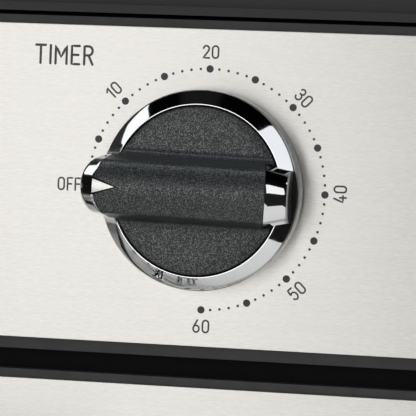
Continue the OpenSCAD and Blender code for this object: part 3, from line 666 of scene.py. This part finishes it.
add_flecks(graphite, (0.005, 0.0062, 0.0080), (0.17, 0.18, 0.18), 5200.0, 0.00004)
inlay = work_surface(
    finish("satin_inlay", (0.66, 0.66, 0.66), 1.0),
    grain, 900.0, ((0.62, 0.62, 0.62), (0.70, 0.70, 0.69)), (0.22, 0.30), 0.00001,
)
# Painted shadow: near-black filler set deep in the gap round the dial plate, and a near-black triangle just
# proud of the bar round the arrow, stand in for the shade in these narrow grooves.
shadow_gap_black = finish("shadow_gap", (0.004, 0.004, 0.004), 0.0, Roughness=0.9)

dial_top = 10.3
plate_edge = 16.85
bevel_inner, bevel_inner_h = 17.4, 10.3
bevel_outer, bevel_outer_h = 20.1, 7.6
ridge_top = 18.6
crown_r, crown_angle = 8.4, math.radians(35)
corner_r, flank_angle = 1.6, math.radians(78)
bar_fillet = 1.8
nose_tip = 22.2
chamfer_slope = 1.28
nose_draft, nose_foot = 0.04, 1.0
nose_back, nose_curve = -19.35, 0.058
nose_r, nose_reach, nose_bluntness = 6.5, 0.985, 2.3
cap_back, cap_lean = 14.05, 0.185
cap_groove = 0.15
tail_end, tail_drop, tail_foot = 19.1, 1.4, 7.4
tail_bulge, tail_taper, tail_draft = 0.25, 0.19, 0.02
shell_share, shell_rise = 0.8, 0.85
edge_round = 0.14
flank_reach = (17.3, 20.0)
arrow = {"base_u": nose_back, "tip_u": -14.9, "half": 1.4, "proud": 0.07}
arrow_groove_shadow = {"base_u": -19.3, "tip_u": -14.2, "half": 1.85, "proud": 0.02}
knob_turn = math.radians(1.4)

crown_v = crown_r * math.sin(crown_angle)
crown_h = ridge_top - crown_r * (1 - math.cos(crown_angle))
corner_v = crown_v - corner_r * math.sin(crown_angle)
corner_h = crown_h - corner_r * math.cos(crown_angle)
flank_v = corner_v + corner_r * math.sin(flank_angle)
flank_h = corner_h + corner_r * math.cos(flank_angle)
foot_h = dial_top + bar_fillet * (1 - math.cos(flank_angle))
bar_foot = flank_v + (flank_h - foot_h) / math.tan(flank_angle)
fillet_v = bar_foot + bar_fillet * math.sin(flank_angle)


def half_section():
    """The bar's half section from the ridge down to its foot, as (half-width, height) pairs."""
    pairs = [(crown_r * math.sin(a), ridge_top - crown_r * (1 - math.cos(a)))
             for a in (crown_angle * i / 12 for i in range(12))]
    for i in range(9):
        a = crown_angle + (flank_angle - crown_angle) * i / 8
        pairs.append((corner_v + corner_r * math.sin(a), corner_h + corner_r * math.cos(a)))
    for i in range(1, 6):
        h = flank_h + (foot_h - flank_h) * i / 5
        pairs.append((flank_v + (flank_h - h) / math.tan(flank_angle), h))
    return pairs


def bar_height(v):
    """Height of the crown above the steel at a distance v from the bar's middle line."""
    return ridge_top - crown_r + math.sqrt(crown_r ** 2 - v * v)


def nose_edge(v):
    """Where the graphite ends and the pointer's chromed chamfer begins."""
    return nose_back + nose_curve * v * v


def nose_outline(v):
    """The pointer's plan outline at the foot of the chamfer."""
    share = min(abs(v) / nose_r, nose_reach)
    return -nose_tip + nose_r * (1 - (1 - share ** nose_bluntness) ** (1 / nose_bluntness))


def cap_start(h):
    """Where the chromed end begins on the bar."""
    return cap_back + cap_lean * (h - foot_h)


def bezel_height(r):
    if r <= bevel_inner:
        return bevel_inner_h
    share = (r - bevel_inner) / (bevel_outer - bevel_inner)
    return bevel_inner_h + (bevel_outer_h - bevel_inner_h) * share


def on_knob(axis, u, v, h):
    cos_t, sin_t = math.cos(knob_turn), math.sin(knob_turn)
    return (axis.x + (u * cos_t + v * sin_t) * MM, steel_face - h * MM,
            axis.z + (-u * sin_t + v * cos_t) * MM)


def lathe(name, profile, place, material, steps=128):
    """Turns a closed outline of (radius, height) pairs; place(u, v, h) puts a point in the world."""
    points, faces = [], []
    for r, h in profile:
        for s in range(steps):
            a = 2 * math.pi * s / steps
            points.append(place(r * math.cos(a), r * math.sin(a), h))
    count = len(profile)
    for i in range(count):
        j = (i + 1) % count
        for s in range(steps):
            n = (s + 1) % steps
            faces.append((i * steps + s, j * steps + s, j * steps + n, i * steps + n))
    return add_mesh(name, points, faces, material)


def slab(name, outer, inner, material, smooth=True):
    """A closed shell between two grids of points with the same rows and columns."""
    rows, cols = len(outer), len(outer[0])
    points = [p for row in outer for p in row] + [p for row in inner for p in row]
    shift = rows * cols
    faces = []
    for r in range(rows - 1):
        for c in range(cols - 1):
            a = r * cols + c
            faces.append((a, a + 1, a + cols + 1, a + cols))
            b = a + shift
            faces.append((b, b + cols, b + cols + 1, b + 1))
    rim = list(range(cols)) + [r * cols + cols - 1 for r in range(1, rows)]
    rim += [(rows - 1) * cols + c for c in range(cols - 2, -1, -1)]
    rim += [r * cols for r in range(rows - 2, 0, -1)]
    for a, b in zip(rim, rim[1:] + rim[:1]):
        faces.append((a, a + shift, b + shift, b))
    piece = add_mesh(name, points, faces, material, smooth)
    weld = piece.modifiers.new("weld", "WELD")
    weld.merge_threshold = weld_reach
    return piece


def soften(piece, width, angle=35, segments=3):
    bevel = piece.modifiers.new("soft_edges", "BEVEL")
    bevel.width = width * MM
    bevel.segments = segments
    bevel.limit_method = "ANGLE"
    bevel.angle_limit = math.radians(angle)
    piece.modifiers.new("even_shading", "WEIGHTED_NORMAL")


bezel_profile = [
    (17.08, 8.3), (17.08, 10.05), (17.13, 10.22), (17.24, 10.34), (17.36, 10.34), (17.48, 10.24),
    (18.1, 9.66), (18.75, 9.03), (19.4, 8.38), (19.9, 7.86), (20.12, 7.58), (20.25, 7.2), (20.3, 6.7),
    (20.3, 4.0), (20.22, 1.5), (20.1, 1.12), (19.8, 0.95), (19.4, 1.1), (19.3, 1.6), (19.3, 6.2),
    (17.8, 8.0),
]
plate_profile = [
    (0.01, 8.5), (0.01, dial_top), (8.0, dial_top), (14.0, dial_top), (plate_edge - 0.3, dial_top),
    (plate_edge - 0.1, dial_top - 0.07), (plate_edge, dial_top - 0.3), (plate_edge, 8.6),
]
gap_profile = [(16.5, 8.7), (16.5, 9.6), (17.2, 9.6), (17.2, 8.7)]


def section_steps(count, low, high):
    return [low + (high - low) * i / count for i in range(count + 1)]


def grip_bar(name, axis):
    """The graphite bar between its two chrome ends."""
    half = half_section()
    across = [(-v, h) for v, h in reversed(half)] + half[1:]
    outer, inner = [], []
    for v, h in [(-bar_foot, dial_top - 0.3)] + across + [(bar_foot, dial_top - 0.3)]:
        start = nose_edge(v) + cap_groove
        end = cap_start(h) - cap_groove
        spread = section_steps(40, start, end)
        outer.append([on_knob(axis, u, v, h) for u in spread])
        inner.append([on_knob(axis, u, v * 0.6, dial_top - 0.4) for u in spread])
    return slab(name, outer, inner, graphite)


def bar_skirt(name, axis, side, material, reach_in, reach_out, base):
    """The hollow curve where the bar's flank runs out on the plate or on the bezel."""
    outer, inner = [], []
    for i in range(13):
        a = flank_angle * (1 - i / 12)
        v = side * (fillet_v - bar_fillet * math.sin(a))
        lift = bar_fillet * (1 - math.cos(a)) + 0.01
        far = math.sqrt(reach_out ** 2 - v * v)
        near = -math.sqrt(reach_in ** 2 - v * v) if reach_in else far
        spread = section_steps(24, -far, near)
        outer.append([on_knob(axis, u, v, base(math.hypot(u, v)) + lift) for u in spread])
        inner.append([on_knob(axis, u, v, base(math.hypot(u, v)) - 0.25) for u in spread])
    return slab(name, outer, inner, material)


def end_section(foot):
    """The bar's whole section from one foot over the ridge to the other, with a low point at both ends."""
    half = half_section()
    across = [(v, h) for v, h in reversed(half)] + [(-v, h) for v, h in half[1:]]
    return [(bar_foot, foot)] + across + [(-bar_foot, foot)]


def shell_of(axis, row, u_mid, h_mid):
    """The inside of an end piece, drawn in from one row of its outside."""
    spots = [(u_mid + (u - u_mid) * shell_share, v * shell_share, h_mid + (h - h_mid) * shell_rise)
             for u, v, h in row]
    return [on_knob(axis, *spot) for spot in spots]


def nose_piece(name, axis):
    """The chromed pointer: a chamfer of even width round the bar's end, then a wall down to the panel."""
    outer, inner = [], []
    for v, h in end_section(foot_h - 0.6):
        edge, outline = nose_edge(v), min(nose_outline(v), nose_edge(v) - 0.1)
        low = h - (edge - outline) / chamfer_slope
        slope = (low - h) / (outline - edge)
        row = [(u, v, h + slope * (u - edge)) for u in section_steps(5, edge, outline)]
        row += [(outline - nose_draft * (low - g), v, g) for g in section_steps(12, low, nose_foot)[1:]]
        outer.append([on_knob(axis, *spot) for spot in row])
        inner.append(shell_of(axis, row, -16.4, 9))
    return slab(name, outer, inner, chrome)


def tail_piece(name, axis):
    """The chromed end: the bar's dome drawn in and sloping down to an upright end wall."""
    outer, inner = [], []
    for v, h in end_section(tail_foot):
        start, row = cap_start(h), []
        stop = tail_end + tail_bulge * (1 - (v / bar_foot) ** 2)
        for u in section_steps(6, start, stop):
            share = (u - start) / (stop - start)
            row.append((u, v * (1 - tail_taper * share), max(h - tail_drop * share, tail_foot)))
        _, side, top = row[-1]
        row += [(stop - tail_draft * (top - g), side, g) for g in section_steps(10, top, tail_foot)[1:]]
        outer.append([on_knob(axis, *spot) for spot in row])
        inner.append(shell_of(axis, row, 13.9, 8))
    return slab(name, outer, inner, chrome)


def arrow_inlay(name, axis, material, base_u, tip_u, half, proud):
    """A slim triangle let into the ridge behind the nose."""
    outer, inner = [], []
    for i in range(13):
        share = i / 12
        u = base_u + (tip_u - base_u) * share
        row = [half * max(1 - share, 0.01) * (c / 4 - 1) for c in range(9)]
        outer.append([on_knob(axis, u, v, bar_height(v) + proud) for v in reversed(row)])
        inner.append([on_knob(axis, u, v, bar_height(v) - 0.5) for v in reversed(row)])
    return slab(name, outer, inner, material, smooth=False)


def make_knob(which, axis, body):
    def place(u, v, h):
        return on_knob(axis, u, v, h)

    bezel_node, grip_node = f"{which}_knob_bezel", f"{which}_knob_grip"
    ring = lathe(f"{which}_bezel_ring", bezel_profile, place, chrome, 160)
    nose = nose_piece(f"{which}_pointer_nose", axis)
    tail = tail_piece(f"{which}_end_face", axis)
    soften(nose, edge_round)
    soften(tail, edge_round)
    flanks = [bar_skirt(f"{which}_bezel_flank_{n}", axis, side, chrome, *flank_reach, bezel_height)
              for n, side in ((1, 1), (2, -1))]
    pointer = arrow_inlay(f"{which}_arrow", axis, inlay, **arrow)
    for piece in [ring, nose, tail, pointer] + flanks:
        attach(piece, body)
    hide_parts(bezel_node)
    plate = lathe(f"{which}_dial_plate", plate_profile, place, graphite, 128)
    bar = grip_bar(f"{which}_grip_bar", axis)
    skirts = [bar_skirt(f"{which}_bar_skirt_{n}", axis, side, graphite, None, plate_edge - 0.05,
                        lambda r: dial_top) for n, side in ((1, 1), (2, -1))]
    # The plate's gap ring and the outline round the arrow are painted shadow in near-black.
    gap = lathe(f"{which}_plate_gap_shadow", gap_profile, place, shadow_gap_black, 96)
    outline = arrow_inlay(f"{which}_arrow_groove_shadow", axis, shadow_gap_black, **arrow_groove_shadow)
    for piece in [plate, bar, gap, outline] + skirts:
        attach(piece, body)
    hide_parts(grip_node)


make_knob("timer", timer_axis, "timer_dial")
make_knob("heat", heat_axis, "heat_dial")


# ---- Power lamp ----
# A small amber-red moulded lens in a chromed ring, pushed through the fascia midway between the
# two controls.
lamp_low, lamp_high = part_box("power_lamp")
lamp_axis = (lamp_low + lamp_high) / 2


def at_lamp(u, v, h):
    return (lamp_axis.x + u * MM, steel_face - h * MM, lamp_axis.z + v * MM)


lens_red = work_surface(
    finish("amber_lens", (0.55, 0.06, 0.02), 0.0, Coat_Weight=0.8, Coat_Roughness=0.04),
    grain, 700.0, ((0.45, 0.04, 0.015), (0.62, 0.08, 0.03)), (0.08, 0.16), 0.00001,
)
lens_profile = [
    (0.01, -9.5), (0.01, 1.58), (1.2, 1.5), (2.2, 1.2), (2.9, 0.75), (3.15, 0.3), (3.2, -0.2), (3.2, -9.5),
]
ring_profile = [
    (3.2, -1.5), (3.2, 0.35), (3.32, 0.6), (3.6, 0.68), (3.85, 0.5), (3.98, 0.15), (3.98, -1.5),
]
lens_piece = lathe("lamp_lens", lens_profile, at_lamp, lens_red, 64)
lens_ring = lathe("lamp_ring", ring_profile, at_lamp, chrome, 64)
for piece in (lens_piece, lens_ring):
    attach(piece, "cabinet")
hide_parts("power_lamp")


# ---- Drawer handles ----
# A graphite bar between two chromed ends, held off the steel by two chromed posts with small feet,
# whose threaded ends pass through the skin and the tray's front.
end_piece = 13
post_inset = 10


def make_handle(k):
    node = f"drawer_{k}_handle"
    body = f"drawer_{k}"
    low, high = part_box(node)
    bar_r = (high.z - low.z) / 2 / MM
    middle = Vector(((low.x + high.x) / 2, low.y + bar_r * MM, (low.z + high.z) / 2))
    half = (high.x - low.x) / 2 / MM
    post_x = half - post_inset
    seam = half - end_piece

    def along_bar(side):
        def place(u, v, h):
            return (middle.x + side * h * MM, middle.y + u * MM, middle.z + side * v * MM)
        return place

    bar_outline = [(0.01, 0.2 - seam), (bar_r - 0.35, 0.2 - seam), (bar_r, 0.6 - seam),
                   (bar_r, seam - 0.6), (bar_r - 0.35, seam - 0.2), (0.01, seam - 0.2)]
    bar = lathe(f"drawer_{k}_handle_bar", bar_outline, along_bar(1), graphite, 48)
    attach(bar, body)
    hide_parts(node)
    end_outline = [(0.01, seam), (bar_r - 0.25, seam), (bar_r, seam + 0.3), (bar_r, half - 1.6),
                   (bar_r - 0.25, half - 0.7), (bar_r - 0.9, half - 0.15), (bar_r - 1.7, half),
                   (0.01, half)]
    for n, side in ((1, -1), (2, 1)):
        end = lathe(f"drawer_{k}_handle_end_{n}", end_outline, along_bar(side), chrome, 48)

        def out_of_front(u, v, h, side=side):
            return (middle.x + (side * post_x + u) * MM, steel_face - h * MM, middle.z + v * MM)

        reach = (steel_face - middle.y) / MM
        post_outline = [(0.01, 0.0), (5.0, 0.0), (5.2, 0.25), (5.2, 0.9), (4.8, 1.3), (4.0, 1.6),
                        (3.7, 2.4), (3.6, 5.0), (3.6, reach), (0.01, reach)]
        post = lathe(f"drawer_{k}_handle_post_{n}", post_outline, out_of_front, chrome, 48)
        for piece in (end, post):
            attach(piece, body)


for k in range(1, 5):
    make_handle(k)


# ---- Drawer trays and woven meshes ----
# A black moulded tray slides on the runners. A stainless mesh, woven from round wire and held in a
# folded rim, lies loose on its ledges.
mesh_steel = work_surface(
    finish("woven_stainless", (0.66, 0.66, 0.65), 1.0),
    grain, 1800.0, ((0.58, 0.58, 0.57), (0.72, 0.72, 0.71)), (0.22, 0.34), 0.00001,
)
wire_r, wire_pitch = 0.45, 7.0
wave_share = 0.95
net_level = 1.35
rim_wide, rim_foot, rim_top = 3.5, 0.1, 2.4


def woven(points, faces, start, step, count, run, runs, along, phase):
    """Adds count wires; each passes over and under the crossing wires, which lie run apart."""
    ring = 5
    for w in range(count):
        first = len(points)
        for i in range(runs * 2 + 1):
            wave = math.cos(math.pi * (i / 2 + w + phase)) * wire_r * wave_share
            centre_a = run * i / 2
            for s in range(ring):
                a = 2 * math.pi * s / ring
                across = start[0] + step * w + wire_r * math.cos(a)
                up = wave + wire_r * math.sin(a)
                spot = (across, start[1] + centre_a) if along == "y" else (start[1] + centre_a, across)
                points.append((spot[0] * MM, spot[1] * MM, up * MM))
        for i in range(runs * 2):
            for s in range(ring):
                a = first + i * ring + s
                b = first + i * ring + (s + 1) % ring
                faces.append((a, b, b + ring, a + ring))
        faces.append(tuple(first + s for s in reversed(range(ring))))
        last = first + runs * 2 * ring
        faces.append(tuple(last + s for s in range(ring)))


def box_faces(points, faces, low, high):
    start = len(points)
    for z in (low[2], high[2]):
        for x, y in ((low[0], low[1]), (high[0], low[1]), (high[0], high[1]), (low[0], high[1])):
            points.append((x, y, z))
    for quad in ((3, 2, 1, 0), (4, 5, 6, 7), (0, 1, 5, 4), (1, 2, 6, 5), (2, 3, 7, 6), (3, 0, 4, 7)):
        faces.append(tuple(start + q for q in quad))


def make_tray_mesh(k):
    node = f"drawer_{k}_mesh"
    low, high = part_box(node)
    wide = (high.x - low.x) / MM - 2 * rim_wide
    deep = (high.y - low.y) / MM - 2 * rim_wide
    count_x = int(wide / wire_pitch)
    count_y = int(deep / wire_pitch)
    step_x, step_y = wide / count_x, deep / count_y
    centre = Vector(((low.x + high.x) / 2, (low.y + high.y) / 2, low.z + net_level * MM))
    points, faces = [], []
    woven(points, faces, (-wide / 2 + step_x / 2, -deep / 2), step_x, count_x, step_y, count_y, "y", 0.5)
    woven(points, faces, (-deep / 2 + step_y / 2, -wide / 2), step_y, count_y, step_x, count_x, "x", -0.5)
    net = add_mesh(f"drawer_{k}_woven_mesh", [Vector(p) + centre for p in points], faces, mesh_steel)
    rim_points, rim_faces = [], []
    foot, top = low.z + rim_foot * MM, low.z + rim_top * MM
    edge = rim_wide * MM
    for a, b in (((low.x, low.y), (high.x, low.y + edge)), ((low.x, high.y - edge), (high.x, high.y)),
                 ((low.x, low.y + edge), (low.x + edge, high.y - edge)),
                 ((high.x - edge, low.y + edge), (high.x, high.y - edge))):
        box_faces(rim_points, rim_faces, (*a, foot), (*b, top))
    rim = add_mesh(f"drawer_{k}_mesh_rim", rim_points, rim_faces, mesh_steel, smooth=False)
    soften(rim, 0.4)
    for piece in (net, rim):
        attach(piece, f"drawer_{k}")
    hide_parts(node)


for k in range(1, 5):
    dress(f"drawer_{k}_tray", black_moulding, 0.3)
    make_tray_mesh(k)


# ---- Galvanised sheet ----
# The pieces of zinc-coated steel sheet inside the case: the base, the chamber's ceiling, runners, baffle
# and rear wall, and the plate behind the controls.
galvanised = work_surface(
    finish("galvanised_sheet", (0.6, 0.61, 0.62), 1.0),
    spangle, 160.0, ((0.46, 0.47, 0.48), (0.68, 0.69, 0.70)), (0.28, 0.46), 0.00001,
)
for sheet in ("base_pan", "chamber_ceiling", "left_runners", "right_runners", "air_baffle",
              "chamber_rear_wall", "control_plate"):
    dress(sheet, galvanised, 0.2)


# ---- Fan, motor and heater ----
# A pressed aluminium wheel turns on a steel shaft, driven by a laminated motor behind the wall. The
# heater's tube is bent to a ring, tinted by heat, and held by steel clips.
pressed_aluminium = work_surface(
    finish("pressed_aluminium", (0.7, 0.71, 0.72), 1.0),
    grain, 800.0, ((0.62, 0.63, 0.64), (0.76, 0.77, 0.78)), (0.3, 0.42), 0.00002,
)
motor_paint = work_surface(
    finish("motor_laminations", (0.12, 0.12, 0.13), 0.6),
    brushing, 0.6, ((0.07, 0.07, 0.075), (0.18, 0.18, 0.19)), (0.4, 0.6), 0.00005,
)
heat_tint = work_surface(
    finish("heat_tinted_sheath", (0.28, 0.22, 0.19), 1.0),
    grain, 60.0, ((0.20, 0.15, 0.14), (0.36, 0.31, 0.27)), (0.35, 0.5), 0.00001,
)
works_steel = work_surface(
    finish("stamped_steel", (0.62, 0.62, 0.63), 1.0),
    brushing, 0.8, ((0.55, 0.55, 0.56), (0.68, 0.68, 0.69)), (0.26, 0.4), 0.00001,
)
dress("fan_wheel", pressed_aluminium, 0.15)
dress("fan_motor", motor_paint, 0.4)
dress("heater_ring", heat_tint, 0)
dress("fan_shaft", works_steel, 0.2)
dress("heater_clips", works_steel, 0.15)


# ---- Timer works and thermostat ----
# Stamped brass wheels turn between two steel plates, with a nylon cam, a phenolic switch and a bell.
# The thermostat is a ceramic block with a copper bulb, and spring clips hold the knobs on their shafts.
brass = work_surface(
    finish("stamped_brass", (0.78, 0.58, 0.27), 1.0),
    grain, 1200.0, ((0.70, 0.50, 0.22), (0.84, 0.64, 0.32)), (0.2, 0.34), 0.00001,
)
nylon = work_surface(
    finish("natural_nylon", (0.80, 0.78, 0.70), 0.0, Subsurface_Weight=0.1),
    grain, 600.0, ((0.74, 0.72, 0.64), (0.84, 0.82, 0.75)), (0.4, 0.5), 0.00002,
)
phenolic = work_surface(
    finish("brown_phenolic", (0.10, 0.055, 0.03), 0.0),
    grain, 900.0, ((0.075, 0.04, 0.022), (0.13, 0.075, 0.045)), (0.35, 0.5), 0.00003,
)
ceramic = work_surface(
    finish("cream_ceramic", (0.78, 0.75, 0.66), 0.0),
    grain, 500.0, ((0.72, 0.69, 0.60), (0.82, 0.79, 0.71)), (0.3, 0.45), 0.00002,
)
copper = work_surface(
    finish("drawn_copper", (0.72, 0.38, 0.22), 1.0),
    grain, 400.0, ((0.58, 0.30, 0.17), (0.78, 0.44, 0.28)), (0.22, 0.36), 0.00001,
)
spring_wire = work_surface(
    finish("spring_wire", (0.5, 0.5, 0.52), 1.0),
    grain, 900.0, ((0.42, 0.42, 0.44), (0.58, 0.58, 0.60)), (0.2, 0.3), 0.00001,
)
for part in ("timer_arbor", "timer_spring_barrel", "timer_great_wheel", "timer_second_wheel",
             "timer_escape_wheel", "heat_shaft"):
    dress(part, brass, 0)
for part in ("timer_front_plate", "timer_back_plate", "timer_bell"):
    dress(part, works_steel, 0.1)
dress("timer_cam", nylon, 0.1)
dress("timer_switch", phenolic, 0.2)
dress("thermal_cutout", phenolic, 0.2)
dress("thermostat_body", ceramic, 0.3)
dress("thermostat_bulb", copper, 0)
for part in ("timer_knob_clip", "heat_knob_clip"):
    dress(part, spring_wire, 0)


# ---- Feet and screws ----
# Moulded rubber feet with a recess for their screws under the base, and zinc-plated screws
# with crossed heads in the case and behind the controls.
rubber = work_surface(
    finish("moulded_rubber", (0.03, 0.03, 0.03), 0.0, Specular_IOR_Level=0.3),
    grain, 1500.0, ((0.020, 0.020, 0.021), (0.040, 0.040, 0.041)), (0.7, 0.85), 0.00006,
)
zinc_plate = work_surface(
    finish("zinc_plate", (0.70, 0.72, 0.75), 1.0),
    grain, 1000.0, ((0.62, 0.64, 0.68), (0.76, 0.78, 0.80)), (0.16, 0.28), 0.00001,
)
dress("rubber_feet", rubber, 0.5)
dress("case_screws", zinc_plate, 0.12)
dress("control_screws", zinc_plate, 0)
